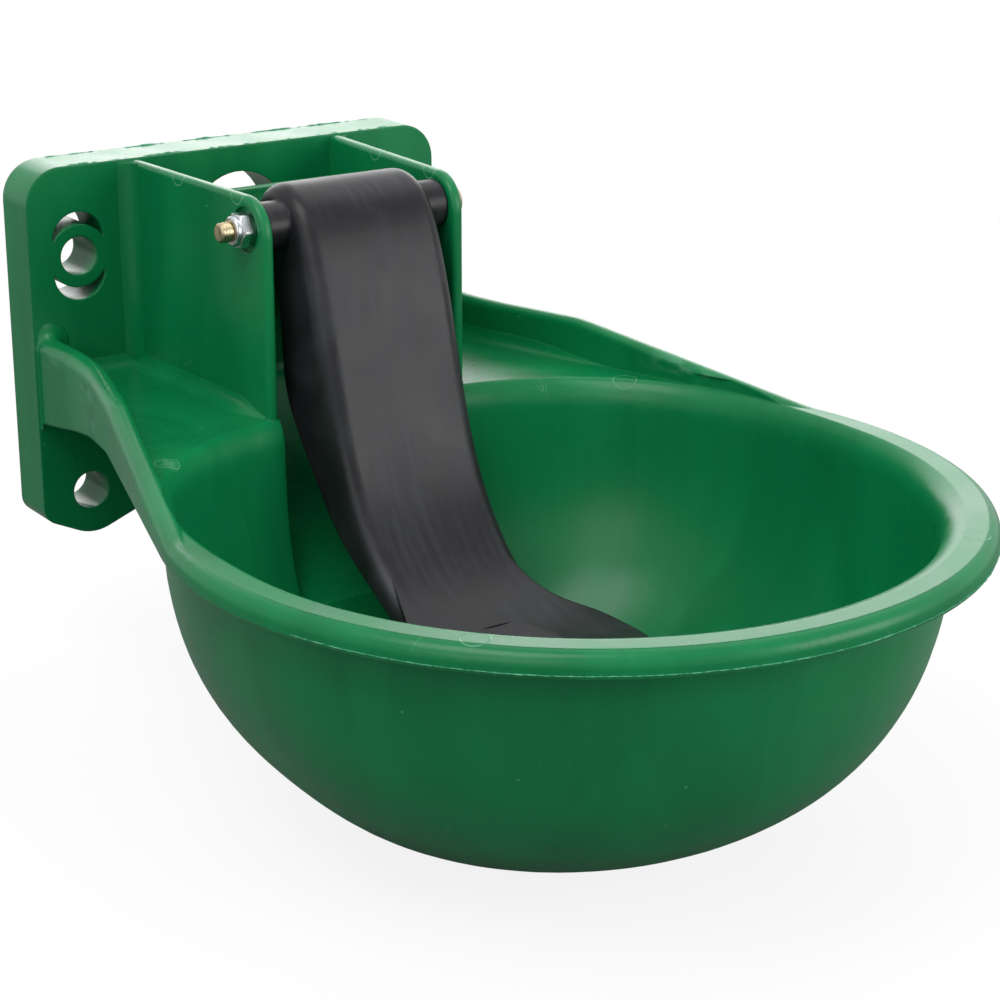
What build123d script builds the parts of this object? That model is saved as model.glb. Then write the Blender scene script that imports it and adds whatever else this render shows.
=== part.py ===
from build123d import *
import math
import os

# Origin: middle of the four bolt holes, on the wall face of the plate.
# +X is right seen from the front, +Y points into the wall and +Z is up.

# Wall plate
bolt_pitch_x = 116.0
bolt_pitch_z = 78.0
bolt_hole_radius = 6.25
plate_half_width = 75.0
plate_top = 68.0
plate_depth = 17.5
plate_skin = 4.0
plate_corner_radius = 12.0
ear_bottom = -54.5
ear_side_bottom = -46.5
ear_corner_radius = 6.0
ear_crown_radius = 14.0
plate_arch = -40.0
plate_arch_half_width = 20.0
rib_thickness = 3.5
lower_rib_z = -19.5
boss_wall = 4.0
slot_radius = 8.75
slot_height = 28.4
slot_ring_radius = 10.15
service_hole_radius = 18.0
service_hole_z = 41.5

# Rim, deck and wings, in plan
rim_centre_y = -204.5
rim_half_width = 115.0
rim_half_depth = 117.5
flank_start_angle = 16.96
wing_root_half_width = 74.0
wing_root_bend = 100.0
wing_thickness = 6.5
lip_width = 12.0

# Rim, deck and wings, in height
deck_top = 0.5
deck_thickness = 4.0
lip_bottom = -6.4
wing_top = 14.2
wing_shoulder_y = -93.0
wing_foot_y = -178.0
wing_arch_y = -88.0
wing_arch_z = -3.2
wing_root_bottom = -17.0
wing_bend = 45.0
wing_outer_radius = 4.0
wing_inner_radius = 2.3
lip_under_radius = 1.0

# Bowl cavity
cavity_side = 101.0
cavity_front = 99.5
cavity_rear = 107.0
cavity_floor = -92.0
bowl_wall = 4.0
mouth_height = 9.0
mouth_roll = 0.96
mouth_flare_side = 6.0
mouth_flare_front = 12.0
mouth_flare_rear = 5.0
rear_squareness = 2.6
fullness_side = 2.6
fullness_front = 2.4
fullness_rear = 3.2

# Cheeks, cross wall and chute
cheek_inner = 31.5
cheek_thickness = 3.9
cheek_splay = 3.6
cheek_front_y = -96.8
cheek_top = 67.5
cheek_nose_radius = 11.5
cheek_edge_radius = 1.6
gusset_y = -51.75
gusset_z = -34.0
gusset_radius = 90.0
cross_wall_front_y = -42.0
cross_wall_thickness = 4.0
cross_wall_top = 59.0
chute_top_z = -2.0
chute_bottom_z = -58.0
chute_front_y = -104.0

# Pivot
pivot_y = -86.8
pivot_z = 57.5
pivot_shank_radius = 3.0
pivot_fit = 0.08
pivot_recess_radius = 6.9
pivot_recess_depth = 1.2

# Pivot bolt with a pan head, and its locking nut
head_radius = 6.0
head_height = 4.4
head_drive_depth = 2.2
bolt_end_x = -45.0
nut_across_flats = 10.0
nut_height = 4.6
collar_radius = 4.55
collar_height = 1.6
collar_ring_height = 1.2
nut_fit = 0.02
seat_gap = 0.05

# Paddle
paddle_half_width = 24.5
paddle_wall = 3.6
paddle_edge_radius = 5.5
spoon_half_width = 34.5
spoon_tip_y = -215.0
dish_radius = 60.0
dish_drop = 1.4
dish_y = -184.0
hub_radius = 7.5
hub_gap = 0.3
pad_rear_y = -84.0
pad_thickness = 5.0
pad_height = 15.0
pad_web_thickness = 3.0
pad_web_x = 9.0
spoon_shoulder_y = -138.0

# Valve, along y through the cross wall
thread_radius = 10.45
wall_hole_gap = 0.15
hex_across_flats = 27.0
hex_height = 6.5
gasket_radius = 14.2
gasket_thickness = 1.5
inlet_end_y = -11.0
shank_end_y = -58.0
nose_radius = 8.2
nose_end_y = -72.0
nose_wall = 3.0
nose_bore_radius = 5.0
outlet_radius = 1.3
outlet_count = 6
outlet_ring_radius = 3.55
chamber_radius = 7.6
chamber_end_y = -50.0
chamber_fit = 0.05
locknut_height = 6.0
washer_radius = 14.5
washer_thickness = 1.5
seat_height = 4.0
seat_orifice_radius = 3.3
seat_lip = 0.8
stem_radius = 2.0
stem_guide_fit = 0.08
stem_gap = 0.3
flange_radius = 5.6
flange_height = 2.0
seal_radius = 5.3
seal_height = 1.9
seal_gap = 0.1
stem_tail = 6.0
spring_radius = 3.6
spring_wire = 0.9
spring_coils = 5
plug_height = 4.0
plug_front_y = -24.5
strainer_wall = 1.0


def across(profile, x_low, x_high):
    """A profile drawn in (y, z), carried from one x to another."""
    return extrude(Plane.YZ.offset(x_low) * profile, x_high - x_low)


def through_plate(profile, y_front, y_back):
    """A profile drawn in (x, z), carried along y from back to front."""
    return extrude(Plane.XZ.offset(-y_back) * profile, y_back - y_front)


def upward(profile, z_low, z_high):
    """A profile drawn in (x, y), carried along z."""
    return extrude(Plane.XY.offset(z_low) * profile, z_high - z_low)


def plate_outline(inset):
    """Outline of the wall plate in (x, z), with two ears at the bottom."""
    half = plate_half_width - inset
    right = [(half, plate_top - inset), (half, ear_side_bottom + inset),
             (bolt_pitch_x / 2, ear_bottom + inset), (plate_arch_half_width, plate_arch + inset)]
    left = [(-x, z) for x, z in reversed(right)]
    radii = [plate_corner_radius - inset / 2, ear_corner_radius - inset / 2,
             ear_crown_radius - inset / 2, ear_crown_radius]
    return make_face(FilletPolyline(right + left, radius=radii + radii[::-1], close=True))


def wall_plate():
    """Front skin with a skirt round it, open at the back, with a tube round each hole."""
    plate = through_plate(plate_outline(0), -plate_depth, 0)
    plate -= through_plate(plate_outline(plate_skin), plate_skin - plate_depth, 0)
    corners = [(x * bolt_pitch_x / 2, z * bolt_pitch_z / 2) for x in (-1, 1) for z in (-1, 1)]
    upper = [c for c in corners if c[1] > 0]
    lower = [c for c in corners if c[1] < 0]
    slot_travel = slot_height - 2 * slot_radius
    slot = Rot(0, 0, 90) * SlotCenterToCenter(slot_travel, 2 * slot_radius)
    slot_wall = Rot(0, 0, 90) * SlotCenterToCenter(slot_travel, 2 * (slot_radius + boss_wall))
    service = Pos(0, service_hole_z)
    solid_areas = [Pos(*c) * slot_wall for c in upper]
    solid_areas += [Pos(*c) * Circle(bolt_hole_radius + boss_wall) for c in lower]
    solid_areas += [service * Circle(service_hole_radius + boss_wall)]
    tall = Rectangle(rib_thickness, 4 * plate_top)
    level = Rectangle(4 * plate_half_width, rib_thickness)
    back_ribs = [Pos(x * cheek_inner, 0) * tall for x in (-1, 1)]
    back_ribs += [Pos(0, z) * level for z in (lower_rib_z, 0)]
    for area in solid_areas + back_ribs:
        plate += through_plate(area & plate_outline(plate_skin / 2), -plate_depth, 0)
    for c in upper:
        void = Pos(*c) * slot - Pos(*c) * Circle(slot_ring_radius)
        plate -= through_plate(void, -plate_depth, 0)
    for c in corners:
        plate -= through_plate(Pos(*c) * Circle(bolt_hole_radius), -plate_depth, 0)
    return plate - through_plate(service * Circle(service_hole_radius), -plate_depth, 0)


def rim_outline(inset):
    """Plan of the rim: an ellipse in front with straight flanks running back to the plate."""
    front = EllipticalCenterArc((0, rim_centre_y), rim_half_width - inset, rim_half_depth - inset,
                                start_angle=180 - flank_start_angle, arc_size=180 + 2 * flank_start_angle)
    tip = front @ 1
    slope = front % 1
    root = wing_root_half_width - inset
    bend_y = tip.Y + (root - tip.X) * slope.Y / slope.X
    back_y = -plate_depth / 2
    flank = [(tip.X, tip.Y), (root, bend_y), (root, back_y)]
    rear = FilletPolyline(flank + [(-x, y) for x, y in reversed(flank)],
                          radius=[wing_root_bend + inset, 0, 0, wing_root_bend + inset])
    return make_face([front, rear])


def wing_side_profile():
    """Side view of the rim band: level lip, ramp and level wing, with an arched lower edge."""
    far_y = rim_centre_y - rim_half_depth - lip_width
    points = [(0, wing_top), (wing_shoulder_y, wing_top), (wing_foot_y, deck_top), (far_y, deck_top),
              (far_y, lip_bottom), (wing_foot_y, lip_bottom), (wing_arch_y, wing_arch_z),
              (0, wing_root_bottom)]
    return make_face(FilletPolyline(points, radius=[0, wing_bend, wing_bend, 0, 0, wing_bend, wing_bend, 0],
                                    close=True))


def rim_band():
    """Lip and wings as one rounded band along the plan outline."""
    ring = upward(rim_outline(0) - rim_outline(wing_thickness), wing_root_bottom - 1, wing_top + 1)
    band = ring & across(wing_side_profile(), -rim_half_width - 1, rim_half_width + 1)
    for outward, radius in ((True, wing_outer_radius), (False, wing_inner_radius)):
        walls = [f for f in upright_faces(band) if faces_out(f) == outward]
        tops = [f for f in band.faces() if f.normal_at().Z > 0.5]
        band = fillet(shared_edges(walls, tops), radius)
    walls = [f for f in upright_faces(band) if faces_out(f)]
    undersides = [f for f in band.faces() if f.normal_at().Z < -0.5]
    return fillet(shared_edges(walls, undersides), lip_under_radius)


def upright_faces(shape):
    """Faces of the band that stand upright, without its ends inside the plate."""
    return [f for f in shape.faces() if abs(f.normal_at().Z) < 0.2 and f.center().Y < -plate_depth]


def faces_out(face):
    """Whether an upright face of the band looks away from the middle of the bowl."""
    normal, place = face.normal_at(), face.center()
    return normal.X * place.X + normal.Y * (place.Y - rim_centre_y) > 0


def shared_edges(some_faces, other_faces):
    """Edges where a face of one group meets a face of the other."""
    some = {e for f in some_faces for e in f.edges()}
    other = {e for f in other_faces for e in f.edges()}
    return list(some & other)


def bowl_section(depth, outward):
    """Plan of the cavity at a depth below the deck, moved outward by a wall."""
    total = deck_top - cavity_floor + outward
    share = min(depth / total, 1)
    curl = min(max(1 - depth / mouth_height, 0), 1) * mouth_roll
    curl = 1 - math.sqrt(1 - curl ** 2)

    def reach(size, fullness, flare):
        return (size + outward) * (1 - share ** fullness) ** (1 / fullness) + flare * curl

    side = reach(cavity_side, fullness_side, mouth_flare_side)
    front = reach(cavity_front, fullness_front, mouth_flare_front)
    rear = reach(cavity_rear, fullness_rear, mouth_flare_rear)
    points = []
    count = 32
    for k in range(count):
        angle = 2 * math.pi * k / count
        x, y = math.cos(angle), math.sin(angle)
        length, power = (rear, rear_squareness) if y > 0 else (front, 2)
        radius = ((abs(x) / side) ** power + (abs(y) / length) ** power) ** (-1 / power)
        points.append((radius * x, rim_centre_y + radius * y, deck_top - depth))
    return make_face(Spline(points, periodic=True))


def bowl_form(outward, start):
    """Smooth bowl body through sections from a start depth in the mouth to the floor."""
    total = deck_top - cavity_floor + outward
    mouth = [start + (mouth_height - start) * s for s in (0, 0.22, 0.46, 0.72, 1)]
    turns = [math.radians(a) for a in (5, 9, 14, 20, 27, 35, 44, 53, 62, 70, 77, 83, 87)]
    body = [total * math.sin(a) ** (2 / fullness_side) for a in turns]
    return loft([bowl_section(d, outward) for d in mouth + body])


def cavity():
    """The space inside the bowl, carried a little above the deck so that it opens cleanly."""
    mouth = bowl_section(0, 0)
    return bowl_form(0, 0) + extrude(mouth, deck_thickness)


def cheek_x(y):
    """Inner face of a cheek at y: the pair splays towards the plate."""
    return cheek_inner + cheek_splay * (y - cheek_front_y) / (-plate_depth - cheek_front_y)


def cheek(side):
    """One of the two walls that carry the paddle, with the gusset below the deck."""
    back_y = plate_skin / 2 - plate_depth
    side_view = [(back_y, cheek_top), (cheek_front_y, cheek_top), (cheek_front_y, deck_top - mouth_height),
                 (chute_front_y, chute_bottom_z - bowl_wall), (gusset_y, gusset_z),
                 (back_y, plate_arch + bowl_wall)]
    radii = [0, cheek_nose_radius, 0, 0, gusset_radius, 0]
    outline = make_face(FilletPolyline(side_view, radius=radii, close=True))
    wall = across(outline, 0, 2 * cheek_inner)
    plan = [(cheek_x(y) + t, y) for y, t in ((back_y, 0), (back_y, cheek_thickness))]
    plan += [(cheek_x(y) + t, y) for y, t in ((chute_front_y, cheek_thickness), (chute_front_y, 0))]
    wall &= upward(make_face(Polyline(plan, close=True)), chute_bottom_z - 2 * bowl_wall, cheek_top + 1)
    above = [e for e in wall.edges() if e.center().Z > deck_top and abs(e.tangent_at(0.5).X) < 0.5]
    nose = [e for e in above if e.center().Y < cheek_front_y + cheek_nose_radius]
    wall = fillet(nose, cheek_edge_radius)
    return wall if side > 0 else mirror(wall, Plane.YZ)


def bowl_body():
    """The one moulding: plate, deck, wings, lip, bowl, cheeks, cross wall and chute."""
    band = rim_band()
    deck = upward(rim_outline(wing_thickness / 2), deck_top - deck_thickness, deck_top)
    lip = upward(rim_outline(wing_thickness / 2) - rim_outline(lip_width), lip_bottom, deck_top)
    in_front = Box(3 * rim_half_width, 2 * rim_half_depth, 2 * rim_half_width)
    lip &= Pos(0, wing_foot_y - rim_half_depth, 0) * in_front
    wall_y = cross_wall_front_y + cross_wall_thickness
    cross_wall = Pos(0, (cross_wall_front_y + wall_y) / 2, (cross_wall_top + deck_top) / 2)
    cross_wall *= Box(2 * cheek_x(wall_y) + cheek_thickness, cross_wall_thickness, cross_wall_top - deck_top)
    inside_y = rim_centre_y + cavity_rear / 2
    throat = [(cross_wall_front_y, cheek_top + 1), (cross_wall_front_y, chute_top_z),
              (chute_front_y, chute_bottom_z), (inside_y, chute_bottom_z), (inside_y, cheek_top + 1)]
    hull = [(wall_y, deck_top), (wall_y, chute_top_z - bowl_wall),
            (chute_front_y, chute_bottom_z - bowl_wall), (chute_front_y, deck_top)]
    chute = across(make_face(Polyline(hull, close=True)), -cheek_inner - 1, cheek_inner + 1)
    body = wall_plate() + deck + lip + band + bowl_form(bowl_wall, deck_thickness / 2) + chute
    body -= cavity()
    body -= across(make_face(FilletPolyline(throat, radius=[0, 2 * bowl_wall, 0, 0, 0], close=True)),
                   -cheek_inner, cheek_inner)
    body += cross_wall
    for side in (-1, 1):
        body += cheek(side)
    body -= along_valve(thread_radius + wall_hole_gap, cross_wall_front_y - 1, wall_y + 1)
    seat = pivot_seat_x()
    body -= pivot_cylinder(pivot_shank_radius + pivot_fit, -2 * cheek_inner, 2 * cheek_inner)
    body -= pivot_cylinder(pivot_recess_radius, seat, seat + bowl_wall)
    body -= pivot_cylinder(pivot_recess_radius, -seat - bowl_wall, -seat)
    return body


def pivot_cylinder(radius, x_low, x_high):
    return across(Pos(pivot_y, pivot_z) * Circle(radius), x_low, x_high)


def pivot_seat_x():
    """Bottom of the shallow recess under the nut and the bolt head."""
    return cheek_x(pivot_y) + cheek_thickness - pivot_recess_depth


def along_valve(radius, y_front, y_back):
    return through_plate(Pos(0, service_hole_z) * Circle(radius), y_front, y_back)


def turned(points):
    """A shape turned about the valve axis, from (radius, y) points."""
    return Pos(0, 0, service_hole_z) * revolve(make_face(Polyline(points, close=True)), Axis.Y)


def hexagon(across_flats):
    return RegularPolygon(across_flats / 2, 6, major_radius=False)


def pivot_bolt():
    """Shank right through both cheeks, with a pan head and a cross drive on the right."""
    seat = pivot_seat_x() + seat_gap
    shank = pivot_cylinder(pivot_shank_radius, bolt_end_x, seat)
    shank = chamfer(shank.faces().sort_by(Axis.X)[0].edges(), pivot_shank_radius / 5)
    head = pivot_cylinder(head_radius, seat, seat + head_height)
    head = fillet(head.faces().sort_by(Axis.X)[-1].edges(), head_height * 0.7)
    drive = Rectangle(head_radius, head_height / 4) + Rectangle(head_height / 4, head_radius)
    top = seat + head_height
    return shank + head - across(Pos(pivot_y, pivot_z) * drive, top - head_drive_depth, top)


def pivot_nut():
    """Hexagon with a thin collar rolled over its locking ring."""
    seat = -pivot_seat_x() - seat_gap
    top = seat - nut_height
    nut = across(Pos(pivot_y, pivot_z) * hexagon(nut_across_flats), top, seat)
    cone = pivot_cylinder(nut_across_flats * 0.56, top, seat)
    nut &= chamfer(cone.edges().filter_by(GeomType.CIRCLE), nut_across_flats * 0.06)
    collar = pivot_cylinder(collar_radius, top - collar_height, top)
    nut += fillet(collar.faces().sort_by(Axis.X)[0].edges(), collar_height / 2)
    nut -= pivot_cylinder(pivot_shank_radius + nut_fit, top - nut_height, seat)
    ring_room = pivot_cylinder(collar_radius - collar_height / 2, top - collar_height, top)
    return nut - ring_room


def nut_ring():
    """Nylon ring held in the collar of the nut."""
    top = -pivot_seat_x() - seat_gap - nut_height
    ring = pivot_cylinder(collar_radius - collar_height / 2 - nut_fit, top - collar_ring_height, top)
    return ring - pivot_cylinder(pivot_shank_radius + nut_fit, top - collar_height, top)


def paddle_face_curve():
    """Front of the paddle in (y, z): over the pivot, down between the cheeks and out into the spoon."""
    points = [(-76.5, 67.4), (-86.5, 68.8), (-96.0, 64.0), (-102.0, 54.5), (-107.0, 41.0), (-113.0, 20.0),
              (-118.5, 0.0), (-125.0, -16.5), (-134.5, -31.5), (-148.5, -44.0), (-166.0, -50.5),
              (-186.0, -52.0), (-204.0, -49.0), (spoon_tip_y, -45.5)]
    return Spline(points)


def beside(curve, distance, start, end, count):
    """Points at a distance behind the paddle's front curve."""
    points = []
    for k in range(count + 1):
        t = start + (end - start) * k / count
        place, along = curve @ t, curve % t
        points.append((place.X - along.Y * distance, place.Y + along.X * distance))
    return points


def front_height(curve, y):
    """Height of the paddle's front curve at y, in its lower half."""
    low, high = 0.5, 1.0
    for _ in range(30):
        middle = (low + high) / 2
        low, high = (middle, high) if (curve @ middle).X > y else (low, middle)
    return (curve @ low).Y


def spoon_plan():
    """Plan of the paddle's lower end: as wide as the channel, then out to a round-tipped spoon."""
    half = paddle_half_width
    wide = spoon_half_width
    flare = wide - half
    start = spoon_shoulder_y
    right = [(half - paddle_edge_radius, start), (half - 0.24 * flare, start - 10),
             (half + 0.09 * flare, start - 20), (half + 0.48 * flare, start - 27),
             (half + 0.84 * flare, start - 33.5), (wide, start - 44), (wide - 0.28 * flare, spoon_tip_y + 18),
             (half, spoon_tip_y + 7), (half / 2, spoon_tip_y + 1.4), (0, spoon_tip_y)]
    left = [(-x, y) for x, y in reversed(right[:-1])]
    edge = Spline(right + left)
    return make_face([edge, Line(edge @ 1, edge @ 0)])


def paddle():
    """Black moulded tongue: a channel with two flanks above, and a wide dished spoon below."""
    front = paddle_face_curve()
    inner = Spline(beside(front, paddle_wall, 0, 1, 24))
    half = paddle_half_width
    flank_end = 0.745
    rear_edge = [(-154.0, -54.4), (-134.6, -42.5), (-117.6, -31.5), (-103.0, -15.0), (-88.5, 8.0),
                 (-84.5, 36.0), (-77.0, 50.0), (-75.6, 60.0)]
    flank_view = make_face([front.trim(0, flank_end), Line(front @ flank_end, rear_edge[0]),
                            Spline(rear_edge), Line(rear_edge[-1], front @ 0)])
    block = across(flank_view, -half, half)
    block = fillet(block.edges().sort_by(SortBy.LENGTH)[-2:], paddle_edge_radius)
    below = [(spoon_tip_y, 2 * chute_bottom_z), (0, 2 * chute_bottom_z), (0, 2 * cheek_top)]
    hollow = make_face([inner, Polyline([inner @ 1] + below + [inner @ 0])])
    block -= across(hollow, paddle_wall - half, half - paddle_wall)
    strip = make_face([front, Line(front @ 1, inner @ 1), inner, Line(inner @ 0, front @ 0)])
    dish_z = front_height(front, dish_y) - dish_drop
    spoon = across(strip, -spoon_half_width - 1, spoon_half_width + 1)
    spoon &= upward(spoon_plan(), 2 * chute_bottom_z, 0)
    dish = Pos(0, dish_y, dish_z + dish_radius) * Sphere(dish_radius)
    dish &= Pos(0, dish_y, dish_z) * Box(2 * half, 2 * spoon_half_width, 4 * dish_drop)
    tongue = block + spoon - dish
    pad_z = service_hole_z
    pad = [(pad_rear_y - pad_thickness, pad_z - pad_height / 2), (pad_rear_y, pad_z - pad_height / 2),
           (pad_rear_y, pad_z + pad_height / 2), (pad_rear_y - pad_thickness, pad_z + pad_height / 2)]
    room = half - paddle_wall
    bite = 0.1
    tongue += across(make_face(Polyline(pad, close=True)), -room - bite, room + bite)
    reach_y = chute_front_y - pad_height
    web_view = make_face(Polyline([(reach_y, pad[0][1]), pad[0], pad[3], (reach_y, pad[3][1])], close=True))
    for side in (-1, 1):
        tongue += across(web_view & flank_view, side * pad_web_x - pad_web_thickness / 2,
                         side * pad_web_x + pad_web_thickness / 2)
        low, high = sorted((side * (room - hub_radius / 2), side * (cheek_inner - hub_gap)))
        tongue += pivot_cylinder(hub_radius, low, high)
    return tongue - pivot_cylinder(pivot_shank_radius + pivot_fit, -cheek_inner, cheek_inner)


def valve_body():
    """Brass body: half-inch inlet thread, hexagon, threaded shank and a nose that guides the stem."""
    hex_front = cross_wall_front_y + cross_wall_thickness + gasket_thickness
    hex_back = hex_front + hex_height
    edge = seat_lip
    outside = [(0, inlet_end_y), (thread_radius - edge, inlet_end_y), (thread_radius, inlet_end_y - edge),
               (thread_radius, shank_end_y + edge), (thread_radius - edge, shank_end_y),
               (nose_radius, shank_end_y), (nose_radius, nose_end_y + edge), (nose_radius - edge, nose_end_y),
               (0, nose_end_y)]
    inside = [(0, inlet_end_y + 1), (chamber_radius, inlet_end_y + 1), (chamber_radius, chamber_end_y),
              (nose_bore_radius, chamber_end_y), (nose_bore_radius, nose_end_y + nose_wall),
              (0, nose_end_y + nose_wall)]
    grip = through_plate(Pos(0, service_hole_z) * hexagon(hex_across_flats), hex_front, hex_back)
    bevel = along_valve(hex_across_flats * 0.57, hex_front, hex_back)
    grip &= chamfer(bevel.faces().sort_by(Axis.Y)[-1].edges(), hex_height / 5)
    body = turned(outside) + grip - turned(inside)
    body -= along_valve(stem_radius + stem_guide_fit, nose_end_y - 1, nose_end_y + nose_wall + 1)
    for spot in PolarLocations(outlet_ring_radius, outlet_count):
        hole = Pos(0, service_hole_z) * spot * Circle(outlet_radius)
        body -= through_plate(hole, nose_end_y - 1, nose_end_y + nose_wall + 1)
    return body


def valve_gasket():
    """Rubber ring squeezed between the hexagon and the back of the cross wall."""
    back = cross_wall_front_y + cross_wall_thickness
    ring = along_valve(gasket_radius, back, back + gasket_thickness)
    return ring - along_valve(thread_radius + wall_hole_gap, back, back + gasket_thickness)


def valve_washer():
    """Flat steel washer under the locknut, on the front of the cross wall."""
    front = cross_wall_front_y - washer_thickness
    ring = along_valve(washer_radius, front, cross_wall_front_y)
    return ring - along_valve(thread_radius + wall_hole_gap, front, cross_wall_front_y)


def valve_locknut():
    """Thin brass hexagon nut that clamps the valve in the cross wall."""
    back = cross_wall_front_y - washer_thickness
    front = back - locknut_height
    nut = through_plate(Pos(0, service_hole_z) * hexagon(hex_across_flats), front, back)
    bevel = along_valve(hex_across_flats * 0.57, front, back)
    nut &= chamfer(bevel.faces().sort_by(Axis.Y)[0].edges(), locknut_height / 5)
    return nut - along_valve(thread_radius + nut_fit, front, back)


def seat_insert():
    """Plastic seat pressed against the shoulder of the chamber, with a raised lip for the seal."""
    back = chamber_end_y + seat_height
    outer = chamber_radius - chamber_fit
    points = [(seat_orifice_radius, chamber_end_y), (outer, chamber_end_y), (outer, back - seat_lip),
              (seat_orifice_radius + 2 * seat_lip, back - seat_lip), (seat_orifice_radius + seat_lip, back),
              (seat_orifice_radius, back)]
    return turned(points)


def stem_flange_y():
    """Front face of the stem's flange, behind the seal and the seat."""
    return chamber_end_y + seat_height + seal_gap + seal_height


def valve_stem():
    """Stem with a rounded tip, a flange that carries the seal and a tail inside the spring."""
    tip = pad_rear_y + stem_gap
    front = stem_flange_y()
    back = front + flange_height
    nib = stem_radius / 2
    points = [(0, tip), (stem_radius - nib, tip), (stem_radius, tip + nib), (stem_radius, front),
              (flange_radius, front), (flange_radius, back), (stem_radius, back),
              (stem_radius, back + stem_tail), (0, back + stem_tail)]
    return turned(points)


def stem_seal():
    """Rubber ring on the front of the flange."""
    front = stem_flange_y() - seal_height
    back = stem_flange_y()
    return turned([(stem_radius, front), (seal_radius, front), (seal_radius, back), (stem_radius, back)])


def valve_spring():
    """Helical spring between the flange and the plug, with closed ends."""
    start = stem_flange_y() + flange_height + spring_wire
    length = plug_front_y - spring_wire - start
    mean = spring_radius
    coil = Helix(length / spring_coils, length, mean, center=(0, 0, 0), direction=(0, 1, 0))
    section = Plane(origin=coil @ 0, z_dir=coil % 0) * Circle(spring_wire / 2)
    wire = sweep(section, path=coil)
    rings = [Pos(0, y, 0) * Rot(90, 0, 0) * Torus(mean, spring_wire / 2) for y in (0, length)]
    return Pos(0, start - spring_wire / 2, service_hole_z) * (wire + rings[0] + rings[1])


def spring_plug():
    """Brass plug screwed into the inlet behind the spring, with water ways round its middle."""
    back = plug_front_y + plug_height
    plug = along_valve(chamber_radius - chamber_fit, plug_front_y, back)
    for spot in PolarLocations(chamber_radius * 0.66, outlet_count):
        plug -= through_plate(Pos(0, service_hole_z) * spot * Circle(outlet_radius * 1.3), plug_front_y, back)
    slot = Pos(0, service_hole_z) * Rectangle(2 * chamber_radius, stem_radius)
    return plug - through_plate(slot, back - seat_lip, back)


def inlet_strainer():
    """Plastic cup with slots that keeps grit out of the valve."""
    front = plug_front_y + plug_height + seat_gap
    outer = chamber_radius - chamber_fit
    inner = outer - strainer_wall
    back = inlet_end_y - seat_lip
    points = [(0, front), (outer, front), (outer, back), (inner, back), (inner, front + strainer_wall),
              (0, front + strainer_wall)]
    cup = turned(points)
    for k in (-1, 0, 1):
        slot = Pos(0, service_hole_z + 3 * k * strainer_wall) * Rectangle(outer * 1.2, strainer_wall)
        cup -= through_plate(slot, front, front + strainer_wall)
    return cup


def build():
    """Make every piece and write it as its own file."""
    pieces = [bowl_body, paddle, pivot_bolt, pivot_nut, nut_ring, valve_body, valve_gasket, valve_washer,
              valve_locknut, seat_insert, valve_stem, stem_seal, valve_spring, spring_plug, inlet_strainer]
    os.makedirs("parts", exist_ok=True)
    for piece in pieces:
        export_step(piece(), "parts/" + piece.__name__ + ".step")


build()
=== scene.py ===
import math

import bpy
import numpy as np
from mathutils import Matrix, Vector


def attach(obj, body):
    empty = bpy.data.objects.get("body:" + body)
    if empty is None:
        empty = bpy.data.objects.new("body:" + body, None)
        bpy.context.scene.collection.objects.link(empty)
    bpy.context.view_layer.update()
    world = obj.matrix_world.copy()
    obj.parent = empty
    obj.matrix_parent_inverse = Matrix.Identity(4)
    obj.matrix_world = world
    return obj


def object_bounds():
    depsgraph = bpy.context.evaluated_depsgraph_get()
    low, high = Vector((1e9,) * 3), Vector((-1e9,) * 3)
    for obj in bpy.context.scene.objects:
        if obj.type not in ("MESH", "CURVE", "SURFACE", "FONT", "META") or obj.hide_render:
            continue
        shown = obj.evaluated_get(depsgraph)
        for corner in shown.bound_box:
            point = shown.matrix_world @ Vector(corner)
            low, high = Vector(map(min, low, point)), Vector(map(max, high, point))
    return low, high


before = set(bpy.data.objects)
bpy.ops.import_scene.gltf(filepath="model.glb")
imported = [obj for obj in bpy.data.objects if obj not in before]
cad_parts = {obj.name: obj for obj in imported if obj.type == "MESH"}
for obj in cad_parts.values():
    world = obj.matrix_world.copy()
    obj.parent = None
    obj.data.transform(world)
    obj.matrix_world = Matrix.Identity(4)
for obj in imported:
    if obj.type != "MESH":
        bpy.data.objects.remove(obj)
cad_box = [list(corner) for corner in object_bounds()]

# Bowl moulding: plate, wings, shelf, lip, bowl and cheeks in one shot of green polyolefin.
# The skin is semi-gloss with a faint orange peel, pale where it was scuffed and with a painted
# sheen (a painted highlight) on the left wing's outer side, darker where the melt flowed last,
# with the thin rings of ejector pins, and hairlines and specks from handling.

MM = 0.001
GREEN = (0.0026, 0.188, 0.060, 1)
GREEN_DEEP = (0.0021, 0.152, 0.047, 1)
# Pale green of scuffs, hairlines, dust and pin prints; also the colour of the painted sheen on the left wing.
GREEN_WORN_AND_SHEEN = (0.130, 0.380, 0.240, 1)
BOWL_ROUGHNESS = (0.23, 0.34)
GREEN_SHINE = 0.24


def new_group(name, inputs, outputs):
    """Empty node group with named float, vector or colour sockets."""
    group = bpy.data.node_groups.new(name, "ShaderNodeTree")
    for label, kind, default in inputs:
        made = group.interface.new_socket(label, in_out="INPUT", socket_type="NodeSocket" + kind)
        if default is not None:
            made.default_value = default
    for label, kind in outputs:
        group.interface.new_socket(label, in_out="OUTPUT", socket_type="NodeSocket" + kind)
    return group, group.nodes.new("NodeGroupInput"), group.nodes.new("NodeGroupOutput")


def add(tree, kind, values=None, **settings):
    """Node of a kind with its settings, and its sockets given values or links."""
    node = tree.nodes.new("ShaderNode" + kind)
    for key, value in settings.items():
        setattr(node, key, value)
    for key, value in (values or {}).items():
        if isinstance(value, bpy.types.NodeSocket):
            tree.links.new(value, node.inputs[key])
        else:
            node.inputs[key].default_value = value
    return node


def noise(tree, place, scale, detail=2.0, **more):
    """Noise texture at a place, with its scale per metre and its octaves."""
    return add(tree, "TexNoise", {"Vector": place, "Scale": scale, "Detail": detail, **more})


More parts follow.
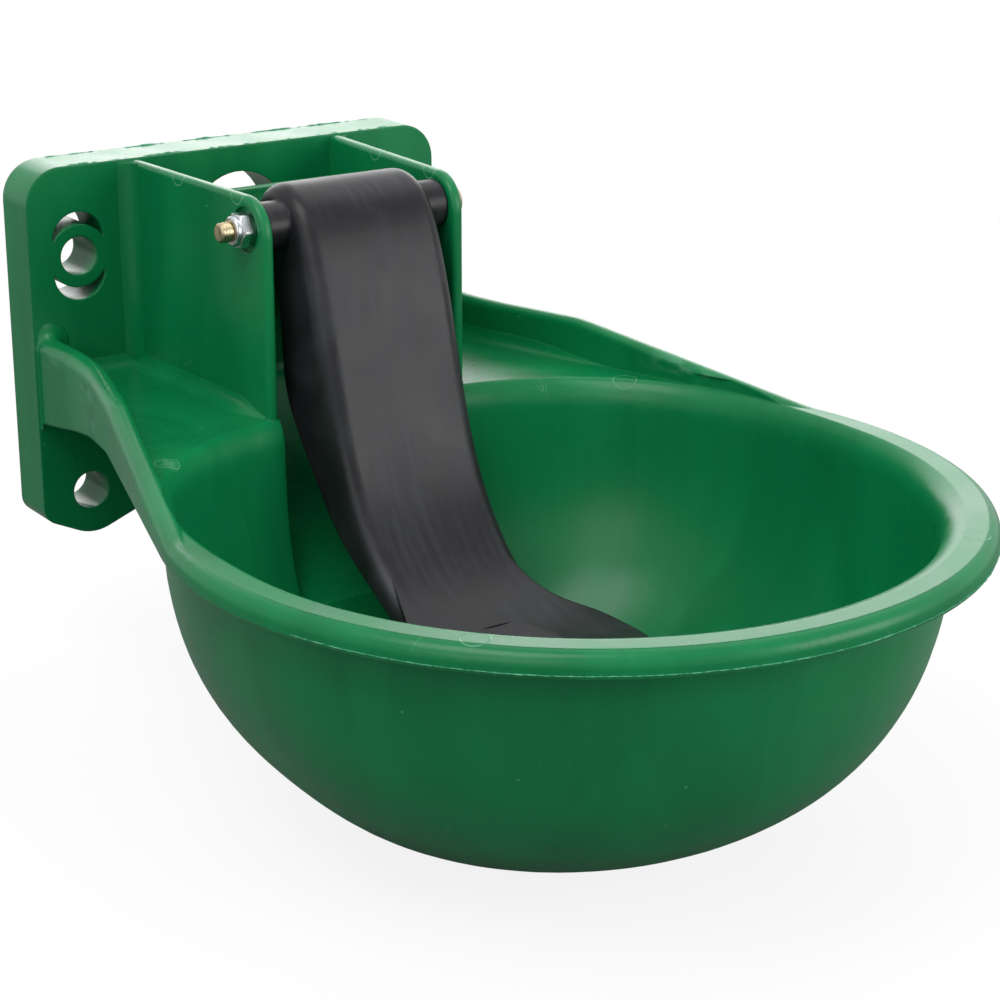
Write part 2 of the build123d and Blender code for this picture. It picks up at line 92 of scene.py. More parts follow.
def remap(tree, value, low, high, out_low=0.0, out_high=1.0):
    """Value taken from one range to another, smooth at both ends."""
    node = add(tree, "MapRange", {0: value, 1: low, 2: high, 3: out_low, 4: out_high},
               interpolation_type="SMOOTHSTEP")
    return node.outputs[0]


def combine(tree, operation, first, second):
    """Result of one math operation on two values."""
    return add(tree, "Math", {0: first, 1: second}, operation=operation).outputs[0]


def blend_colour(tree, factor, first, second):
    """Colour that goes from the first at 0 to the second at 1."""
    node = add(tree, "Mix", {0: factor}, data_type="RGBA")
    for slot, value in ((6, first), (7, second)):
        if isinstance(value, bpy.types.NodeSocket):
            tree.links.new(value, node.inputs[slot])
        else:
            node.inputs[slot].default_value = value
    return node.outputs[2]


def make_peel_group():
    """Moulded skin: fine peel over broad waves, as a height."""
    group, given, result = new_group("Moulded skin", [("Vector", "Vector", None), ("Grain", "Float", 900.0)],
                                     [("Height", "Float"), ("Flow", "Float")])
    place = given.outputs["Vector"]
    fine = noise(group, place, given.outputs["Grain"], 3.0).outputs[0]
    broad = noise(group, place, 38.0, 2.0).outputs[0]
    flow = noise(group, add(group, "Mapping", {"Vector": place, "Scale": (1.0, 1.0, 0.25)}).outputs[0],
                 26.0, 4.0, Distortion=1.2).outputs[0]
    height = combine(group, "ADD", combine(group, "MULTIPLY", fine, 0.12), broad)
    group.links.new(height, result.inputs["Height"])
    group.links.new(flow, result.inputs["Flow"])
    return group


def make_scratch_group():
    """Hairline scratches: thin bands where a stretched, bent noise crosses its middle."""
    group, given, result = new_group("Hairlines", [("Vector", "Vector", None), ("Scale", "Float", 30.0),
                                                  ("Amount", "Float", 0.5)], [("Mask", "Float")])
    place = given.outputs["Vector"]
    lines = None
    for turn, stretch in (((0.4, 0.9, 0.3), (1, 9, 1)), ((1.3, 0.2, 1.1), (8, 1, 1)),
                          ((0.2, 0.5, 2.2), (1, 1, 10))):
        along = add(group, "Mapping", {"Vector": place, "Rotation": turn, "Scale": stretch}).outputs[0]
        field = noise(group, along, given.outputs["Scale"], 0.0).outputs[0]
        near = add(group, "Math", {0: field, 1: 0.5, 2: 0.0008}, operation="COMPARE").outputs[0]
        lines = near if lines is None else combine(group, "MAXIMUM", lines, near)
    patches = remap(group, noise(group, place, 60.0, 2.0).outputs[0], 0.60, 0.70)
    mask = combine(group, "MULTIPLY", combine(group, "MULTIPLY", lines, patches), given.outputs["Amount"])
    group.links.new(mask, result.inputs["Mask"])
    return group


def make_speck_group():
    """Dust and pits: small round cells, kept only where the cell's own random value is high."""
    group, given, result = new_group("Specks", [("Vector", "Vector", None), ("Scale", "Float", 160.0),
                                                ("Size", "Float", 0.12), ("Share", "Float", 0.1)],
                                     [("Mask", "Float")])
    cells = add(group, "TexVoronoi", {"Vector": given.outputs["Vector"], "Scale": given.outputs["Scale"]})
    inside = combine(group, "LESS_THAN", cells.outputs["Distance"], given.outputs["Size"])
    lot = add(group, "SeparateColor", {0: cells.outputs["Color"]}).outputs[0]
    chosen = combine(group, "LESS_THAN", lot, given.outputs["Share"])
    group.links.new(combine(group, "MULTIPLY", inside, chosen), result.inputs["Mask"])
    return group


def make_worn_and_sheen_group():
    """Pale patch, partly scuff and partly painted sheen: falls off with the distance from a place, broken up
    by streaks.
    """
    group, given, result = new_group("Worn and sheen patch", [("Vector", "Vector", None), ("Centre", "Vector", None),
                                                   ("Reach", "Vector", (0.02, 0.02, 0.02))],
                                     [("Mask", "Float")])
    place = given.outputs["Vector"]
    away = add(group, "VectorMath", {0: place, 1: given.outputs["Centre"]}, operation="SUBTRACT").outputs[0]
    away = add(group, "VectorMath", {0: away, 1: given.outputs["Reach"]}, operation="DIVIDE").outputs[0]
    distance = add(group, "VectorMath", {0: away}, operation="LENGTH").outputs["Value"]
    near = remap(group, distance, 1.0, 0.15)
    streaked = add(group, "Mapping", {"Vector": place, "Scale": (1.0, 0.35, 1.0)}).outputs[0]
    streaks = remap(group, noise(group, streaked, 190.0, 5.0, Distortion=0.8).outputs[0], 0.42, 0.68)
    group.links.new(combine(group, "MULTIPLY", near, streaks), result.inputs["Mask"])
    return group


def make_pin_group():
    """Ejector pin's print: a thin ring at a set distance from a point, where the pin's edge stood."""
    group, given, result = new_group("Pin mark", [("Vector", "Vector", None), ("Centre", "Vector", None),
                                                 ("Radius", "Float", 0.00375)], [("Mask", "Float")])
    away = add(group, "VectorMath", {0: given.outputs["Vector"], 1: given.outputs["Centre"]},
               operation="DISTANCE").outputs["Value"]
    off = combine(group, "ABSOLUTE", combine(group, "SUBTRACT", away, given.outputs["Radius"]), 0.0)
    group.links.new(remap(group, off, 0.30 * MM, 0.06 * MM), result.inputs["Mask"])
    return group


PEEL = make_peel_group()
HAIRLINES = make_scratch_group()
SPECKS = make_speck_group()
WORN_AND_SHEEN = make_worn_and_sheen_group()
PIN_MARK = make_pin_group()
# Centres and reaches of the pale patches: the first two, on the left wing's outer side near the plate, are a
# painted sheen (painted highlight); the others are scuffs.
SCUFFS_AND_SHEEN = (((-79, -52, 4), (9, 34, 14)), ((-78, -27, 12), (8, 16, 9)), ((96, -132, 6), (10, 40, 6)),
          ((-80, -116, 0), (4, 7, 3)))
PIN_PLACES = ((-35.7, -47.5, 67.5), (35.7, -47.5, 67.5), (-34.1, -82, 67.5), (34.1, -82, 67.5),
              (-82, -278, 0.5), (67.5, -292, 0.5), (81, -120.6, 0.5), (-79.9, -116.6, 0.5))


def use_group(tree, group, values):
    """Puts a node group into a tree with its values, and gives its outputs."""
    node = tree.nodes.new("ShaderNodeGroup")
    node.node_tree = group
    for key, value in values.items():
        if isinstance(value, bpy.types.NodeSocket):
            tree.links.new(value, node.inputs[key])
        else:
            node.inputs[key].default_value = value
    return node.outputs


def start_material(name):
    """Material with a Principled shader and Object coordinates, emptied of the rest."""
    material = bpy.data.materials.new(name)
    material.use_nodes = True
    tree = material.node_tree
    tree.nodes.clear()
    shader = tree.nodes.new("ShaderNodeBsdfPrincipled")
    out = tree.nodes.new("ShaderNodeOutputMaterial")
    tree.links.new(shader.outputs[0], out.inputs[0])
    place = tree.nodes.new("ShaderNodeTexCoord").outputs["Object"]
    return material, tree, shader, place


def soft_normal(tree, shader, radius, height, distance, strength=1.0):
    """Rounds sharp edges by a small radius and lays a height over them."""
    edge = add(tree, "Bevel", {"Radius": radius}, samples=6)
    bump = add(tree, "Bump", {"Strength": strength, "Distance": distance, "Height": height,
                              "Normal": edge.outputs[0]})
    tree.links.new(bump.outputs[0], shader.inputs["Normal"])


def green_plastic():
    """Green of the moulding, with pale patches on the wings (scuffs, and a painted sheen on the left wing's
    outer side) and the prints of the ejector pins.
    """
    material, tree, shader, place = start_material("Green moulded plastic")
    skin = use_group(tree, PEEL, {"Vector": place})
    colour = blend_colour(tree, remap(tree, skin["Flow"], 0.3, 0.72), GREEN_DEEP, GREEN)
    scuffs_and_sheen = None
    # Pale patches: scuffs, and a painted sheen on the left wing's outer side near the plate.
    for centre, reach in SCUFFS_AND_SHEEN:
        spot = use_group(tree, WORN_AND_SHEEN, {"Vector": place, "Centre": [c * MM for c in centre],
                                      "Reach": [r * MM for r in reach]})["Mask"]
        scuffs_and_sheen = spot if scuffs_and_sheen is None else combine(tree, "MAXIMUM", scuffs_and_sheen, spot)
    colour = blend_colour(tree, combine(tree, "MULTIPLY", scuffs_and_sheen, 0.5), colour, GREEN_WORN_AND_SHEEN)
    lines = use_group(tree, HAIRLINES, {"Vector": place, "Scale": 16.0, "Amount": 0.35})["Mask"]
    dust = use_group(tree, SPECKS, {"Vector": place, "Scale": 190.0, "Size": 0.07, "Share": 0.05})["Mask"]
    pits = use_group(tree, SPECKS, {"Vector": place, "Scale": 60.0, "Size": 0.045, "Share": 0.05})["Mask"]
    colour = blend_colour(tree, combine(tree, "MAXIMUM", lines, combine(tree, "MULTIPLY", dust, 0.5)),
                          colour, GREEN_WORN_AND_SHEEN)
    colour = blend_colour(tree, combine(tree, "MULTIPLY", pits, 0.7), colour, (0.004, 0.02, 0.012, 1))
    pins = None
    for centre in PIN_PLACES:
        ring = use_group(tree, PIN_MARK, {"Vector": place, "Centre": [c * MM for c in centre]})["Mask"]
        pins = ring if pins is None else combine(tree, "MAXIMUM", pins, ring)
    colour = blend_colour(tree, combine(tree, "MULTIPLY", pins, 0.55), colour, GREEN_WORN_AND_SHEEN)
    tree.links.new(colour, shader.inputs["Base Color"])
    rough = remap(tree, skin["Flow"], 0.25, 0.75, *BOWL_ROUGHNESS)
    rough = combine(tree, "ADD", rough, combine(tree, "MULTIPLY", scuffs_and_sheen, 0.2))
    tree.links.new(rough, shader.inputs["Roughness"])
    shader.inputs["Specular IOR Level"].default_value = GREEN_SHINE
    height = combine(tree, "ADD", skin["Height"], combine(tree, "MULTIPLY", pins, 0.5))
    soft_normal(tree, shader, 0.9 * MM, height, 0.25 * MM, 0.6)
    return material


def clothe(node, material):
    """Gives a CAD node its material in place of the one it was packed with."""
    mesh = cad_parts[node].data
    mesh.materials.clear()
    mesh.materials.append(material)


GREEN_PLASTIC = green_plastic()
clothe("bowl_body", GREEN_PLASTIC)


# Inside corners: the moulding is filleted where plate, cheeks, deck and wings meet.
# Each fillet is a strip with a hollow quarter-round face, of the same green plastic.

PLATE_FRONT = -17.5 * MM
DECK_TOP = 0.5 * MM
CHEEK_TOP = 67.5 * MM
CHEEK_FRONT = -96.8 * MM
CHEEK_OUTER = 35.4 * MM
CHEEK_SPLAY = 3.6 / 79.3
WING_INNER = 67.5 * MM
WING_OUTER = 74.0 * MM
WING_TOP = 14.2 * MM
WING_FOOT = -16.0 * MM
WING_INNER_SHOULDER = 2.3 * MM
WING_OUTER_SHOULDER = 4.0 * MM
WING_BEND = 106.5 * MM
WING_BEND_START = -34.9 * MM
WING_FILLET_END = -112.0 * MM
FLANK_TURN = math.radians(16.63)
FILLET = 4.5 * MM
SMALLEST_FILLET = 0.8 * MM
SUNK = 0.25 * MM


def skin_rings(name, rings, material):
    """Piece from cross-sections: rings[i, j] is point j of section i. Quads join neighbours and the
    two ends are capped. The faces are turned so that they enclose a positive volume, and are
    shaded smooth but for their edges."""
    count, around = rings.shape[:2]
    points = rings.reshape(-1, 3)
    i, j = np.meshgrid(np.arange(count - 1), np.arange(around), indexing="ij")
    beside = (j + 1) % around
    corners = [i * around + j, i * around + beside, (i + 1) * around + beside, (i + 1) * around + j]
    quads = np.stack(corners, -1).reshape(-1, 4)
    caps = [np.arange(around)[::-1], np.arange((count - 1) * around, count * around)]
    first, second, third, fourth = (points[quads[:, k]] for k in range(4))
    volume = np.einsum("ij,ij->i", first, np.cross(second, third) + np.cross(third, fourth)).sum()
    if volume < 0:
        quads = quads[:, ::-1]
        caps = [cap[::-1] for cap in caps]
    faces = quads.tolist() + [cap.tolist() for cap in caps]
    mesh = bpy.data.meshes.new(name)
    mesh.from_pydata(points.tolist(), [], faces)
    mesh.polygons.foreach_set("use_smooth", np.ones(len(faces), bool))
    mesh.set_sharp_from_angle(angle=math.radians(40))
    mesh.materials.append(material)
    piece = bpy.data.objects.new(name, mesh)
    bpy.context.scene.collection.objects.link(piece)
    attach(piece, "housing")


def fillet_strip(name, path, along_a, along_b, radius):
    """Quarter round in a corner: its centre is the corner moved by the radius along both faces,
    and its two edges and its back are sunk a little under the faces."""
    path, along_a, along_b = (np.broadcast_to(v, path.shape)[:, None]
                              for v in (path, along_a, along_b))
    radius = np.broadcast_to(radius, len(path))[:, None, None]
    turn = np.linspace(0, np.pi / 2, 10)[None, :, None]
    arc = path + radius * (along_a * (1 - np.cos(turn)) + along_b * (1 - np.sin(turn)))
    rings = np.concatenate([arc[:, :1] - SUNK * along_a, arc, arc[:, -1:] - SUNK * along_b,
                            path - SUNK * (along_a + along_b)], 1)
    skin_rings(name, rings, GREEN_PLASTIC)


def run(start, stop, count=24):
    """Evenly spaced points from one place to another."""
    return np.linspace(np.array(start, float), np.array(stop, float), count)


def fade(start, stop, values):
    """Share that falls from 1 at one value to 0 at another, smooth at both ends."""
    share = np.clip((np.asarray(values) - stop) / (start - stop), 0, 1)
    return share * share * (3 - 2 * share)


def cheek_outer_x(y):
    """Half distance between the cheeks' outer faces: it grows evenly towards the plate."""
    return CHEEK_OUTER + CHEEK_SPLAY * (y - CHEEK_FRONT)


def wing_root_outline(count=12):
    """Points and outward normals round the wing's section at the plate: up the inner wall, over
    two rounded shoulders and down the outer wall."""
    inner_r, outer_r = WING_INNER_SHOULDER, WING_OUTER_SHOULDER
    rise = np.linspace(DECK_TOP, WING_TOP - inner_r, count)
    turn = np.linspace(0, np.pi / 2, count)
    fall = np.linspace(WING_TOP - outer_r, WING_FOOT, count)
    points = [np.stack([np.full(count, WING_INNER), rise], 1)[:-1],
              np.stack([WING_INNER + inner_r * (1 - np.cos(turn)),
                        WING_TOP - inner_r * (1 - np.sin(turn))], 1),
              np.stack([WING_OUTER - outer_r * (1 - np.sin(turn)),
                        WING_TOP - outer_r * (1 - np.cos(turn))], 1),
              np.stack([np.full(count, WING_OUTER), fall], 1)[1:]]
    normals = [np.tile([-1.0, 0.0], (count - 1, 1)), np.stack([-np.cos(turn), np.sin(turn)], 1),
               np.stack([np.sin(turn), np.cos(turn)], 1), np.tile([1.0, 0.0], (count - 1, 1))]
    return np.concatenate(points), np.concatenate(normals)


def wing_inner_path():
    """Foot of the wing's inner wall: straight from the plate, then an arc that turns outwards, then
    straight again at the arc's last angle."""
    bend = np.linspace(0, FLANK_TURN, 20)
    x = np.concatenate([np.full(6, WING_INNER), WING_INNER + WING_BEND * (1 - np.cos(bend))])
    y = np.concatenate([np.linspace(PLATE_FRONT, WING_BEND_START, 7)[:-1],
                        WING_BEND_START - WING_BEND * np.sin(bend)])
    far_y = np.linspace(y[-1], WING_FILLET_END, 30)[1:]
    x = np.concatenate([x, x[-1] + (y[-1] - far_y) * math.tan(FLANK_TURN)])
    return x, np.concatenate([y, far_y])


UP = np.array([0, 0, 1.0])
FORWARD = np.array([0, -1.0, 0])
for side_name, side in (("left", -1), ("right", 1)):
    outward = np.array([side, 0, 0.0])
    root_x = side * cheek_outer_x(PLATE_FRONT)
    corner = (root_x, PLATE_FRONT, DECK_TOP)
    cheek_corner_top = (root_x, PLATE_FRONT, CHEEK_TOP - 0.3 * MM)
    fillet_strip("cheek_plate_fillet_" + side_name, run(corner, cheek_corner_top),
                 outward, FORWARD - CHEEK_SPLAY * outward, FILLET)
    fillet_strip("deck_plate_fillet_" + side_name,
                 run(corner, (side * WING_INNER, PLATE_FRONT, DECK_TOP)), UP, FORWARD, FILLET)
    y = np.linspace(PLATE_FRONT, CHEEK_FRONT + 1.6 * MM, 40)
    foot = np.stack([side * cheek_outer_x(y), y, np.full_like(y, DECK_TOP)], 1)
    fillet_strip("cheek_deck_fillet_" + side_name, foot, UP, outward,
                 FILLET * (0.2 + 0.8 * fade(-80 * MM, -95 * MM, y)))
    wing_x, wing_y = wing_inner_path()
    fillet_strip("wing_deck_fillet_" + side_name,
                 np.stack([side * wing_x, wing_y, np.full_like(wing_x, DECK_TOP)], 1), UP, -outward,
                 FILLET * (0.08 + 0.92 * fade(-72 * MM, WING_FILLET_END + 1 * MM, wing_y)))
    outline, normals = wing_root_outline()
    place = np.stack([side * outline[:, 0], np.full(len(outline), PLATE_FRONT), outline[:, 1]], 1)
    away = np.stack([side * normals[:, 0], np.zeros(len(outline)), normals[:, 1]], 1)
    grown = fade(WING_INNER + 2.5 * MM, WING_OUTER, outline[:, 0])
    fillet_strip("wing_plate_fillet_" + side_name, place, away, FORWARD,
                 SMALLEST_FILLET + (FILLET - SMALLEST_FILLET) * grown)


# Flash: a thin ragged fin of plastic squeezed out along the mould's parting line under the lip
# and along the top of the plate. It is torn and chipped, so its edge is pale.

RIM_CENTRE_Y = -204.5 * MM
RIM_HALF_WIDTH = 115.0 * MM
RIM_HALF_DEPTH = 117.5 * MM
PARTING_Z = -5.1 * MM
TORN_GREEN = (0.010, 0.20, 0.085, 1)
TORN_PALE = (0.12, 0.42, 0.26, 1)


def torn_plastic():
    """Whitened green of a torn edge, blotched where it is chipped."""
    material, tree, shader, place = start_material("Torn green flash")
    blotch = noise(tree, place, 900.0, 3.0).outputs[0]
    colour = blend_colour(tree, remap(tree, blotch, 0.35, 0.65), TORN_GREEN, TORN_PALE)
    tree.links.new(colour, shader.inputs["Base Color"])
    tree.links.new(remap(tree, blotch, 0.3, 0.7, 0.4, 0.6), shader.inputs["Roughness"])
    soft_normal(tree, shader, 0.1 * MM, blotch, 0.05 * MM, 0.4)
    return material


TORN = torn_plastic()


def ragged(length, count, seed, coarse=9.0 * MM, fine=1.3 * MM):
    """Uneven height along a line, 0 to about 1: two seeded random series, one coarse and one fine,
    each joined by straight lines."""
    random = np.random.default_rng(seed)
    place = np.linspace(0, length, count)
    total = np.zeros(count)
    for spacing, share in ((coarse, 0.6), (fine, 0.4)):
        knots = np.arange(0, length + 2 * spacing, spacing)
        total += share * np.interp(place, knots, random.random(len(knots)) ** 2)
    return total


def fin(name, path, outward, height, across=(0, 0, 1.0), half_thickness=0.11 * MM):
    """Thin fin along a path: a flat section that stands out of the surface by its own height and
    thins towards its edge."""
    height = np.asarray(height)[:, None, None]
    outward = np.broadcast_to(outward, path.shape)[:, None]
    half = np.array(across)[None, None] * half_thickness
    base = path[:, None] - outward * 0.4 * MM
    tip = path[:, None] + outward * height
    rings = np.concatenate([base - half * 1.6, tip - half * 0.6, tip + half * 0.6, base + half * 1.6], 1)
    skin_rings(name, rings, TORN)


FIN_STEPS = 900
turn = np.linspace(math.radians(197), math.radians(343), FIN_STEPS)
normal = np.stack([np.cos(turn) / RIM_HALF_WIDTH, np.sin(turn) / RIM_HALF_DEPTH, np.zeros_like(turn)], 1)
normal /= np.linalg.norm(normal, axis=1)[:, None]
rim = np.stack([RIM_HALF_WIDTH * np.cos(turn), RIM_CENTRE_Y + RIM_HALF_DEPTH * np.sin(turn),
                PARTING_Z + 0.25 * MM * (ragged(0.35, FIN_STEPS, 5, 22 * MM) - 0.4)], 1)
lip_flash_height = 0.10 * MM + 0.42 * MM * ragged(0.35, FIN_STEPS, 11)
fin("lip_flash", rim, normal, lip_flash_height)

PLATE_TOP = 68.0 * MM
EAR_STRAIGHT = 60.0 * MM
for edge_name, edge_y, seed in (("rear", -0.35 * MM, 21), ("front", -16.2 * MM, 23)):
    along = run((-EAR_STRAIGHT, edge_y, PLATE_TOP), (EAR_STRAIGHT, edge_y, PLATE_TOP), 500)
    plate_flash_height = 0.9 * MM * (ragged(0.12, 500, seed, 7 * MM, 1.6 * MM) - 0.22)
    plate_flash_height = np.clip(plate_flash_height, -0.1 * MM, 0.45 * MM)
    fin("plate_flash_" + edge_name, along, (0, 0, 1.0), plate_flash_height, (0, 1.0, 0))


# Tongue: black moulded plastic with a cloudy grey bloom and fine streaks along its length.
# It is a channel with rolled edges above and a thin dished spoon below.

BLACK = (0.0070, 0.0071, 0.0086, 1)
BLACK_BLOOM = (0.044, 0.045, 0.052, 1)
BLACK_SHINE = 0.23


def black_plastic():
    """Black base under a grey bloom that lies in clouds and in streaks down the tongue."""
    material, tree, shader, place = start_material("Black moulded plastic")
    skin = use_group(tree, PEEL, {"Vector": place, "Grain": 1100.0})
    streaked = add(tree, "Mapping", {"Vector": place, "Scale": (1.0, 0.12, 0.08)}).outputs[0]
    streaks = noise(tree, streaked, 420.0, 3.0).outputs[0]
    clouds = noise(tree, place, 42.0, 4.0, Distortion=0.6).outputs[0]
    bloom = combine(tree, "MULTIPLY", remap(tree, clouds, 0.34, 0.68, 0.25, 1.0),
                    remap(tree, streaks, 0.35, 0.7, 0.45, 1.0))
    lines = use_group(tree, HAIRLINES, {"Vector": place, "Scale": 20.0, "Amount": 0.4})["Mask"]
    colour = blend_colour(tree, combine(tree, "MAXIMUM", combine(tree, "MULTIPLY", bloom, 0.55), lines),
                          BLACK, BLACK_BLOOM)
    tree.links.new(colour, shader.inputs["Base Color"])
    rough = combine(tree, "ADD", remap(tree, clouds, 0.3, 0.7, 0.28, 0.38),
                    combine(tree, "MULTIPLY", streaks, 0.08))
    tree.links.new(rough, shader.inputs["Roughness"])
    shader.inputs["Specular IOR Level"].default_value = BLACK_SHINE
    height = combine(tree, "ADD", skin["Height"], combine(tree, "MULTIPLY", streaks, 0.25))
    soft_normal(tree, shader, 0.8 * MM, height, 0.15 * MM, 0.6)
    return material


clothe("paddle", black_plastic())


# Pivot: an M6 pan head bolt in yellow zinc with a bright zinc locking nut on its left end, where
# its thread stands out. The plating is thin, so it is uneven in colour, with turning marks.

def plated(name, light, dark, rough):
    """Metal surface: two tones in blotches, with fine turning marks in its gloss and relief."""
    material, tree, shader, place = start_material(name)
    blotch = noise(tree, place, 260.0, 4.0).outputs[0]
    stretched = add(tree, "Mapping", {"Vector": place, "Scale": (9, 1, 1)}).outputs[0]
    marks = noise(tree, stretched, 1500.0).outputs[0]
    colour = blend_colour(tree, remap(tree, blotch, 0.35, 0.7), dark, light)
    tree.links.new(colour, shader.inputs["Base Color"])
    tree.links.new(remap(tree, marks, 0.2, 0.8, rough - 0.06, rough + 0.12), shader.inputs["Roughness"])
    shader.inputs["Metallic"].default_value = 1.0
    soft_normal(tree, shader, 0.25 * MM, marks, 0.03 * MM, 0.5)
    return material


YELLOW_ZINC = plated("Yellow zinc", (0.62, 0.52, 0.30, 1), (0.36, 0.30, 0.20, 1), 0.28)
BRIGHT_ZINC = plated("Bright zinc", (0.66, 0.68, 0.70, 1), (0.40, 0.42, 0.44, 1), 0.24)
clothe("pivot_bolt", YELLOW_ZINC)
clothe("pivot_nut", BRIGHT_ZINC)


def thread(name, along, middle_axis, start, stop, radius, pitch, height, material):
    """Screw thread: a low three-sided ridge wound round an axis, one pitch forward each turn, that
    rises from under the bar's surface at one end and sinks into it at the other."""
    turns = abs(stop - start) / pitch
    angle = np.linspace(0, 2 * np.pi * turns, int(turns * 48))
    place = np.linspace(start, stop, len(angle))
    rise = height * fade(turns - 0.5, turns, angle / (2 * np.pi)) * fade(0.5, 0.0, angle / (2 * np.pi))
    half = 0.46 * pitch
    reach = np.stack([np.full_like(angle, radius - 0.15 * MM), radius + 0.02 * MM + rise,
                      np.full_like(angle, radius - 0.15 * MM)], 1)
    shift = np.array([-half, 0.0, half])[None]
    rings = np.empty((len(angle), 3, 3))
    across = [axis for axis in range(3) if axis != along]
    rings[..., along] = place[:, None] + shift
    rings[..., across[0]] = middle_axis[0] + reach * np.cos(angle)[:, None]
    rings[..., across[1]] = middle_axis[1] + reach * np.sin(angle)[:, None]
    skin_rings(name, rings, material)


PIVOT_AXIS = (-86.8 * MM, 57.5 * MM)
thread("pivot_bolt_thread", 0, PIVOT_AXIS, -44.1 * MM, -41.4 * MM, 2.9 * MM, 1.0 * MM, 0.22 * MM,
       YELLOW_ZINC)


# Small white mouldings: the nut's locking ring, the valve seat and the inlet strainer.
# Natural nylon and acetal, slightly yellow and translucent at the edges; drawn as one opaque pale material.

def pale_plastic(name, light, dark):
    """Two close tones in small clouds under a fine moulded skin."""
    material, tree, shader, place = start_material(name)
    cloud = noise(tree, place, 300.0, 3.0).outputs[0]
    skin = use_group(tree, PEEL, {"Vector": place, "Grain": 2500.0})
    tree.links.new(blend_colour(tree, remap(tree, cloud, 0.3, 0.7), dark, light), shader.inputs["Base Color"])
    tree.links.new(remap(tree, cloud, 0.2, 0.8, 0.38, 0.52), shader.inputs["Roughness"])
    soft_normal(tree, shader, 0.2 * MM, skin["Height"], 0.04 * MM, 0.5)
    return material


NATURAL = pale_plastic("Natural nylon", (0.74, 0.72, 0.64, 1), (0.62, 0.58, 0.48, 1))
for small_part in ("nut_ring", "seat_insert", "inlet_strainer"):
    clothe(small_part, NATURAL)


# Valve: turned brass body, locknut, stem and plug, with a stainless washer and spring. The body
# has a half-inch pipe thread at both ends. Brass keeps tool marks and tarnishes in brown blotches.

BRASS = plated("Turned brass", (0.70, 0.50, 0.22, 1), (0.42, 0.27, 0.11, 1), 0.30)
STAINLESS = plated("Stainless steel", (0.58, 0.58, 0.57, 1), (0.42, 0.42, 0.41, 1), 0.26)
for brass_part in ("valve_body", "valve_locknut", "valve_stem", "spring_plug"):
    clothe(brass_part, BRASS)
for steel_part in ("valve_washer", "valve_spring"):
    clothe(steel_part, STAINLESS)

VALVE_AXIS = (0.0, 41.5 * MM)
VALVE_THREAD_RADIUS = 10.45 * MM
PIPE_PITCH = 1.814 * MM
for end_name, start, stop in (("inlet", -12.4 * MM, -28.6 * MM), ("shank", -50.6 * MM, -56.8 * MM)):
    thread("valve_thread_" + end_name, 1, VALVE_AXIS, start, stop, VALVE_THREAD_RADIUS, PIPE_PITCH,
           0.35 * MM, BRASS)


# Gasket and stem seal: black nitrile rubber, dull, with a little talc left on it.

def rubber():
    """Black rubber with pale talc where a fine noise is high."""
    material, tree, shader, place = start_material("Black rubber")
    talc = remap(tree, noise(tree, place, 700.0, 5.0).outputs[0], 0.5, 0.72)
    tree.links.new(blend_colour(tree, combine(tree, "MULTIPLY", talc, 0.4), (0.012, 0.012, 0.012, 1),
                                (0.10, 0.10, 0.10, 1)), shader.inputs["Base Color"])
    tree.links.new(remap(tree, talc, 0.0, 1.0, 0.6, 0.8), shader.inputs["Roughness"])
    soft_normal(tree, shader, 0.3 * MM, talc, 0.05 * MM, 0.4)
    return material


RUBBER = rubber()
for seal in ("valve_gasket", "stem_seal"):
    clothe(seal, RUBBER)


# Studio: a white floor that fades into a white background, two soft lamps above, one behind for
# the pale edges, and one at each side in front; the right one draws the band down the tongue.

def studio_floor():
    """Disc under the bowl: white with the bowl's shadow near it, plain white far from it. It throws
    less light back than it shows, so the underside stays deep green."""
    material, tree, shader, place = start_material("Floor")
    path = tree.nodes.new("ShaderNodeLightPath")
    paper = blend_colour(tree, path.outputs["Is Camera Ray"], (0.24, 0.24, 0.24, 1), (0.93, 0.93, 0.93, 1))
    tree.links.new(paper, shader.inputs["Base Color"])
    shader.inputs["Roughness"].default_value = 0.75
    shader.inputs["Specular IOR Level"].default_value = 0.2
    glow = add(tree, "Emission", {"Color": (1, 1, 1, 1), "Strength": 1.0})
    away = add(tree, "VectorMath", {0: place}, operation="LENGTH").outputs["Value"]
    to_camera = combine(tree, "MULTIPLY", remap(tree, away, 0.30, 0.75, 0.86, 1.0),
                        path.outputs["Is Camera Ray"])
    mirrored = combine(tree, "MAXIMUM", path.outputs["Is Glossy Ray"], path.outputs["Is Transmission Ray"])
    mirrored = combine(tree, "MULTIPLY", remap(tree, away, 0.6, 2.2), mirrored)
    fade = combine(tree, "MAXIMUM", to_camera, mirrored)
    mixed = add(tree, "MixShader", {0: fade, 1: shader.outputs[0], 2: glow.outputs[0]})
    out = next(n for n in tree.nodes if n.type == "OUTPUT_MATERIAL")
    tree.links.new(mixed.outputs[0], out.inputs[0])
    angle = np.linspace(0, 2 * np.pi, 65)[:-1]
    level = cad_box[0][2] - 0.5 * MM
    rim = np.stack([6 * np.cos(angle), 6 * np.sin(angle), np.full(64, level)], 1)
    mesh = bpy.data.meshes.new("floor")
    mesh.from_pydata(rim.tolist(), [], [list(range(64))])
    mesh.materials.append(material)
    floor = bpy.data.objects.new("floor", mesh)
    bpy.context.scene.collection.objects.link(floor)


studio_floor()


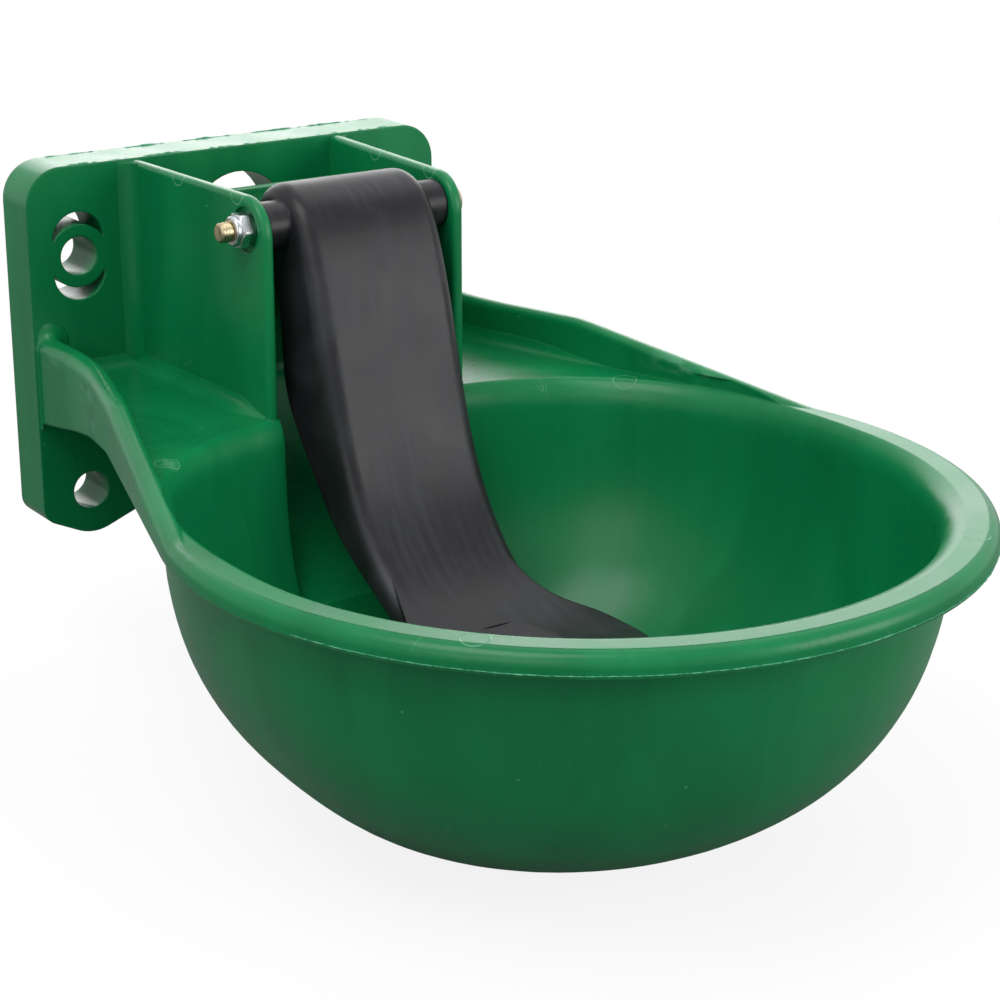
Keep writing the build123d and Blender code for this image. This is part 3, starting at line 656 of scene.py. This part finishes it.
def soft_lamp(name, place, target, size, radiance):
    """Oblong lamp turned to a target, its power worked out from how bright its face looks."""
    data = bpy.data.lights.new(name, "AREA")
    data.shape = "RECTANGLE"
    data.size, data.size_y = size
    data.energy = radiance * math.pi * size[0] * size[1]
    lamp = bpy.data.objects.new(name, data)
    lamp.location = place
    lamp.rotation_euler = (Vector(target) - Vector(place)).to_track_quat("-Z", "Y").to_euler()
    lamp.visible_camera = False
    bpy.context.scene.collection.objects.link(lamp)


middle = (0.0, -0.15, -0.02)
soft_lamp("lamp above", (0.54, 0.22, 1.20), middle, (1.0, 0.9), 1.0)
soft_lamp("lamp above left", (-0.62, -0.38, 1.22), middle, (0.8, 0.8), 4.9)
soft_lamp("lamp behind", (0.76, 1.16, 0.50), middle, (1.6, 0.75), 2.3)
soft_lamp("lamp right front", (0.76, -1.32, 0.36), middle, (0.9, 0.7), 4.6)
soft_lamp("lamp left front", (-1.3, -1.0, 0.7), middle, (1.0, 0.9), 1.6)

world = bpy.data.worlds.new("Studio")
bpy.context.scene.world = world
world.use_nodes = True
sky = world.node_tree
sky.nodes.clear()
rays = sky.nodes.new("ShaderNodeLightPath")
shown = combine(sky, "MAXIMUM", rays.outputs["Is Camera Ray"],
                combine(sky, "MAXIMUM", rays.outputs["Is Glossy Ray"], rays.outputs["Is Transmission Ray"]))
dim = add(sky, "Background", {"Color": (1, 1, 1, 1), "Strength": 0.55})
white = add(sky, "Background", {"Color": (1, 1, 1, 1), "Strength": 1.0})
both = add(sky, "MixShader", {0: shown, 1: dim.outputs[0], 2: white.outputs[0]})
sky_out = sky.nodes.new("ShaderNodeOutputWorld")
sky.links.new(both.outputs[0], sky_out.inputs[0])


# Camera: the photograph's place, direction and focal length, solved from the plate and the rim.

camera_data = bpy.data.cameras.new("Camera")
camera_data.sensor_width = 36.0
camera_data.lens = 91.33
camera_data.clip_start = 0.05
camera = bpy.data.objects.new("Camera", camera_data)
camera.location = (-0.3914, -0.7404, 0.2240)
camera.rotation_euler = (math.radians(90 - 18.76), 0, math.radians(-34.39))
bpy.context.scene.collection.objects.link(camera)
bpy.context.scene.camera = camera
bpy.context.scene.view_settings.view_transform = "Standard"
